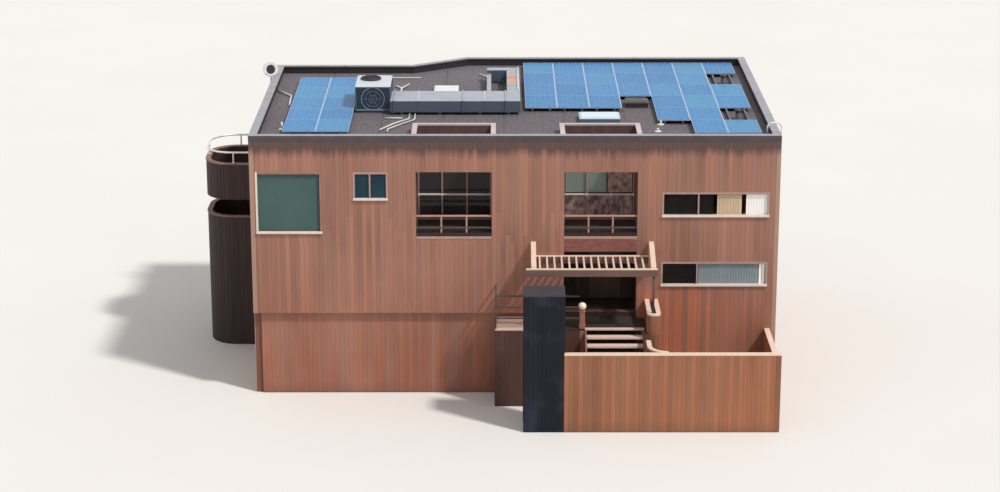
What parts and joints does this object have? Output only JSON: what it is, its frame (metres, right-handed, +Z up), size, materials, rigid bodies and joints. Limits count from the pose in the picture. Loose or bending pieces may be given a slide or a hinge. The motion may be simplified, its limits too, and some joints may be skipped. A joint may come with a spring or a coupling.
{
  "type": "beach house",
  "caption": "Flat-roofed cedar beach house with light wells, roof solar panels, an entry stair under a hung pergola, a walled court and rounded side decks.",
  "frame": {"origin": "on the ground, under the ground-level front wall, at the middle of the front", "axes": "+X runs right along the front, seen from in front; +Y runs from the front to the back; +Z is up"},
  "size_m": [18.115, 14.65, 8.9],
  "materials": {
    "cedar": "weathered red cedar boards",
    "pale_wood": "pale painted wood",
    "white_trim": "white satin",
    "glass": "clear",
    "dark_wood": "dark stained boards",
    "floor_wood": "boarded floor",
    "roofing": "matt sheet roofing",
    "flashing": "grey metal",
    "solar_panel": "blue cells under glass",
    "roof_metal": "sheet metal",
    "steel_pipe": "satin pipe"
  },
  "bodies": {
    "root": {"ground_wall_front": "cedar", "front_wall_bands": "cedar", "front_wall_piers": "cedar", "front_wall_over_entry": "cedar", "left_wall_bands": "cedar", "left_wall_piers": "cedar", "right_wall_bands": "cedar", "right_wall_piers": "cedar", "back_wall_bands": "cedar", "back_wall_piers": "cedar", "back_wall_slanted": "cedar", "first_floor": "floor_wood", "second_floor": "floor_wood", "roof_deck": "roofing", "roof_coping": "flashing", "light_well_walls": "cedar", "light_well_headers": "cedar", "light_well_windows": "white_trim", "entry_side_walls": "cedar", "entry_back_wall": "cedar", "entry_door": "cedar", "window_frames": "white_trim", "window_glass": "glass", "deck_doors": "white_trim", "pergola_beams": "pale_wood", "pergola_ties": "pale_wood", "pergola_slats": "pale_wood", "entry_landing": "pale_wood", "landing_skirt": "cedar", "landing_rail": "dark_wood", "stair_treads": "pale_wood", "stair_stringers": "cedar", "newel_lamp": "cedar", "court_walls": "cedar", "curved_wall": "cedar", "screen_walls": "dark_wood", "screen_ends": "dark_wood", "lower_deck_wall": "cedar", "upper_deck_wall": "cedar", "deck_floors": "pale_wood", "deck_rail": "steel_pipe", "solar_panels": "solar_panel", "solar_rails": "roof_metal", "roof_unit": "roof_metal", "roof_duct": "roof_metal"}
  },
  "joints": []
}
